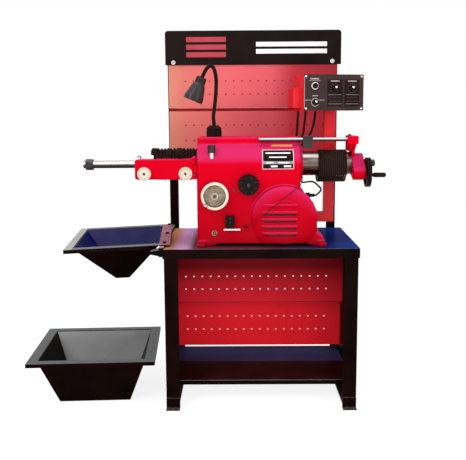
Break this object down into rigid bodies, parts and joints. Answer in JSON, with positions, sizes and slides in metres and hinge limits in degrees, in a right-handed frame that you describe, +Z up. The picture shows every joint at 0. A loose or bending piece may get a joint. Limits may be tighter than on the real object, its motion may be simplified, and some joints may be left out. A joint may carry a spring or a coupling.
{
  "type": "brake lathe",
  "caption": "Brake drum and disc lathe on a sheet-metal bench with tool boards, sliding spindle, tool arm, chip hopper, chip bin, work lamp and control box.",
  "frame": {"origin": "on the floor, below the middle of the lathe's box in X and Y, measured without the free power cord, its coil and its plug", "axes": "+X to the operator's right along the spindle, +Y away from the operator, +Z up"},
  "size_m": [1.325, 0.568, 1.3993],
  "materials": {
    "crimson_enamel": "glossy crimson enamel over a fine-textured casting",
    "red_powder": "satin red powder coat on sheet steel",
    "black_enamel": "glossy black enamel on sheet steel",
    "polished_steel": "turned and ground steel",
    "blackened_steel": "black oxide, worn bright on the edges",
    "chrome": "chrome plate",
    "pale_aluminium": "cast and turned aluminium, slightly warm",
    "grey_iron": "grey painted cast iron",
    "black_rubber": "matt black rubber",
    "black_plastic": "black moulded plastic",
    "button_plastic": "glossy black plastic"
  },
  "bodies": {
    "machine": {"bench_top": "black_enamel", "left_frame": "black_enamel", "right_frame": "black_enamel", "bottom_shelf": "black_enamel", "upper_back_panel": "red_powder", "lower_back_panel": "red_powder", "left_post": "black_enamel", "right_post": "black_enamel", "lower_tool_board": "red_powder", "upper_tool_board": "red_powder", "sign_board": "black_enamel", "chip_hopper": "black_enamel", "headstock_casting": "crimson_enamel", "motor_cover": "crimson_enamel", "drive_motor": "grey_iron", "limit_switch": "black_plastic", "slide_way": "polished_steel", "control_arm": "red_powder", "control_box": "red_powder", "control_panel": "black_plastic", "cord_gland": "black_plastic", "power_cord": "black_rubber", "cord_tail": "black_rubber", "power_plug": "black_rubber", "cord_coil": "black_rubber", "trip_cord": "black_rubber", "control_cables": "black_rubber", "bellows": "black_rubber"},
    "quill_unit": {"quill": "polished_steel", "front_bearing": "polished_steel", "rear_bearing": "polished_steel", "feed_bracket": "crimson_enamel", "stop_rod": "polished_steel"},
    "feed_wheel": {"feed_handwheel": "blackened_steel"},
    "feed_crank": {"feed_crank_handle": "black_plastic"},
    "arbor_unit": {"arbor": "polished_steel", "drawbar_nut": "blackened_steel"},
    "arbor_end": {"arbor_nut": "polished_steel"},
    "lay_shaft": {"worm_wheel": "polished_steel"},
    "worm": {"motor_worm": "polished_steel"},
    "stop": {"stop_clamp": "blackened_steel"},
    "cross_wheel": {"cross_feed_handwheel": "pale_aluminium"},
    "cross_handle": {"cross_feed_handle": "chrome"},
    "arm": {"tool_arm": "crimson_enamel"},
    "left_dial": {"left_tool_dial": "pale_aluminium"},
    "right_dial": {"right_tool_dial": "pale_aluminium"},
    "left_knob": {"left_clamp_knob": "black_plastic"},
    "right_knob": {"right_clamp_knob": "black_plastic"},
    "cutter_bar": {"tool_bar": "polished_steel"},
    "selector": {"selector_knob": "black_plastic"},
    "trip": {"trip_lever": "polished_steel"},
    "lock_screw": {"quill_lock_screw": "chrome"},
    "button": {"start_button": "button_plastic"},
    "mode_knob": {"mode_selector": "black_plastic"},
    "speed": {"speed_knob": "black_plastic"},
    "feed": {"feed_knob": "black_plastic"},
    "lamp_foot": {"lamp_base": "black_enamel"},
    "lamp_neck": {"gooseneck": "black_enamel"},
    "lamp_shade": {"lamp_head": "black_enamel"},
    "bin": {"chip_bin": "black_enamel"}
  },
  "joints": [
    {"name": "quill_slide", "type": "slide", "parent": "machine", "child": "quill_unit", "axis": [1, 0, 0], "range_m": [0, 0.095], "deforming": ["bellows"]},
    {"name": "feed_handwheel_turn", "type": "hinge", "parent": "quill_unit", "child": "feed_wheel", "pos_m": [0.59619, -0.11831, 0.85], "axis": [1, 0, 0], "range_deg": [0, 1700]},
    {"name": "feed_crank_turn", "type": "hinge", "parent": "feed_wheel", "child": "feed_crank", "pos_m": [0.61449, -0.16074, 0.843], "axis": [1, 0, 0], "continuous": true},
    {"name": "arbor_spin", "type": "hinge", "parent": "quill_unit", "child": "arbor_unit", "pos_m": [0, -0.05531, 0.88], "axis": [1, 0, 0], "continuous": true},
    {"name": "arbor_nut_turn", "type": "hinge", "parent": "arbor_unit", "child": "arbor_end", "pos_m": [-0.43, -0.05531, 0.88], "axis": [1, 0, 0], "continuous": true},
    {"name": "lay_shaft_turn", "type": "hinge", "parent": "machine", "child": "lay_shaft", "pos_m": [0, -0.01031, 0.78182], "axis": [1, 0, 0], "continuous": true},
    {"name": "motor_turn", "type": "hinge", "parent": "machine", "child": "worm", "pos_m": [0.29519, 0, 0.69], "axis": [0, 1, 0], "continuous": true},
    {"name": "stop_clamp_slide", "type": "slide", "parent": "quill_unit", "child": "stop", "axis": [1, 0, 0], "range_m": [0, 0.1]},
    {"name": "cross_handwheel_turn", "type": "hinge", "parent": "machine", "child": "cross_wheel", "pos_m": [0.04719, 0, 0.776], "axis": [0, 1, 0], "range_deg": [-3200, 1560]},
    {"name": "cross_handle_turn", "type": "hinge", "parent": "cross_wheel", "child": "cross_handle", "pos_m": [0.01678, 0, 0.74559], "axis": [0, 1, 0], "continuous": true},
    {"name": "tool_arm_slide", "type": "slide", "parent": "machine", "child": "arm", "axis": [0, 1, 0], "range_m": [-0.045, 0.022]},
    {"name": "left_dial_turn", "type": "hinge", "parent": "arm", "child": "left_dial", "pos_m": [-0.20181, 0, 0.855], "axis": [0, 1, 0], "range_deg": [-1400, 1400]},
    {"name": "tool_bar_slide", "type": "slide", "parent": "arm", "child": "cutter_bar", "axis": [0, 1, 0], "range_m": [-0.008, 0.008]},
    {"name": "right_dial_turn", "type": "hinge", "parent": "arm", "child": "right_dial", "pos_m": [-0.05581, 0, 0.855], "axis": [0, 1, 0], "range_deg": [-360, 360]},
    {"name": "left_knob_turn", "type": "hinge", "parent": "arm", "child": "left_knob", "pos_m": [-0.16581, -0.18531, 0.92], "axis": [0, 0, 1], "continuous": true},
    {"name": "right_knob_turn", "type": "hinge", "parent": "arm", "child": "right_knob", "pos_m": [-0.07781, -0.18531, 0.92], "axis": [0, 0, 1], "continuous": true},
    {"name": "selector_turn", "type": "hinge", "parent": "machine", "child": "selector", "pos_m": [0.16719, 0, 0.814], "axis": [0, 1, 0], "range_deg": [-45, 45]},
    {"name": "trip_lever_swing", "type": "hinge", "parent": "machine", "child": "trip", "pos_m": [0.08419, 0, 0.655], "axis": [0, 1, 0], "range_deg": [-5, 5]},
    {"name": "quill_lock_turn", "type": "hinge", "parent": "machine", "child": "lock_screw", "pos_m": [0.03669, -0.19731, 0.93], "axis": [0, 0, 1], "range_deg": [-90, 90]},
    {"name": "start_button_press", "type": "slide", "parent": "machine", "child": "button", "axis": [-0.2419, 0.9703, 0], "range_m": [0, 0.004], "stiffness_N_per_m": 500, "springref_m": -0.002},
    {"name": "mode_selector_turn", "type": "hinge", "parent": "machine", "child": "mode_knob", "pos_m": [0.41721, -0.03338, 1.105], "axis": [-0.2419, 0.9703, 0], "range_deg": [-45, 45]},
    {"name": "speed_knob_turn", "type": "hinge", "parent": "machine", "child": "speed", "pos_m": [0.49318, -0.01444, 1.156], "axis": [-0.2419, 0.9703, 0], "range_deg": [-135, 135]},
    {"name": "feed_knob_turn", "type": "hinge", "parent": "machine", "child": "feed", "pos_m": [0.55916, 0.00201, 1.156], "axis": [-0.2419, 0.9703, 0], "range_deg": [-135, 135]},
    {"name": "lamp_base_lift", "type": "slide", "parent": "machine", "child": "lamp_foot", "axis": [0, 0, 1], "range_m": [0, 0.1]},
    {"name": "lamp_swivel", "type": "hinge", "parent": "lamp_foot", "child": "lamp_neck", "pos_m": [0.04219, -0.06531, 1.03], "axis": [0, 0, 1], "range_deg": [-120, 120]},
    {"name": "lamp_head_tilt", "type": "hinge", "parent": "lamp_neck", "child": "lamp_shade", "pos_m": [-0.00311, -0.06531, 1.1902], "axis": [0, 1, 0], "range_deg": [-15, 15]},
    {"name": "bin_slide", "type": "slide", "parent": "machine", "child": "bin", "axis": [0, -1, 0], "range_m": [0, 0.3]}
  ],
  "couplings": [
    {"joint": "quill_slide", "follows": "feed_handwheel_turn", "m_per_rad": 0.0031831},
    {"joint": "tool_arm_slide", "follows": "cross_handwheel_turn", "m_per_rad": 0.00079577},
    {"joint": "tool_bar_slide", "follows": "left_dial_turn", "m_per_rad": 0.00031831},
    {"joint": "lay_shaft_turn", "follows": "arbor_spin", "ratio": -0.42105},
    {"joint": "motor_turn", "follows": "arbor_spin", "ratio": 12.632}
  ]
}
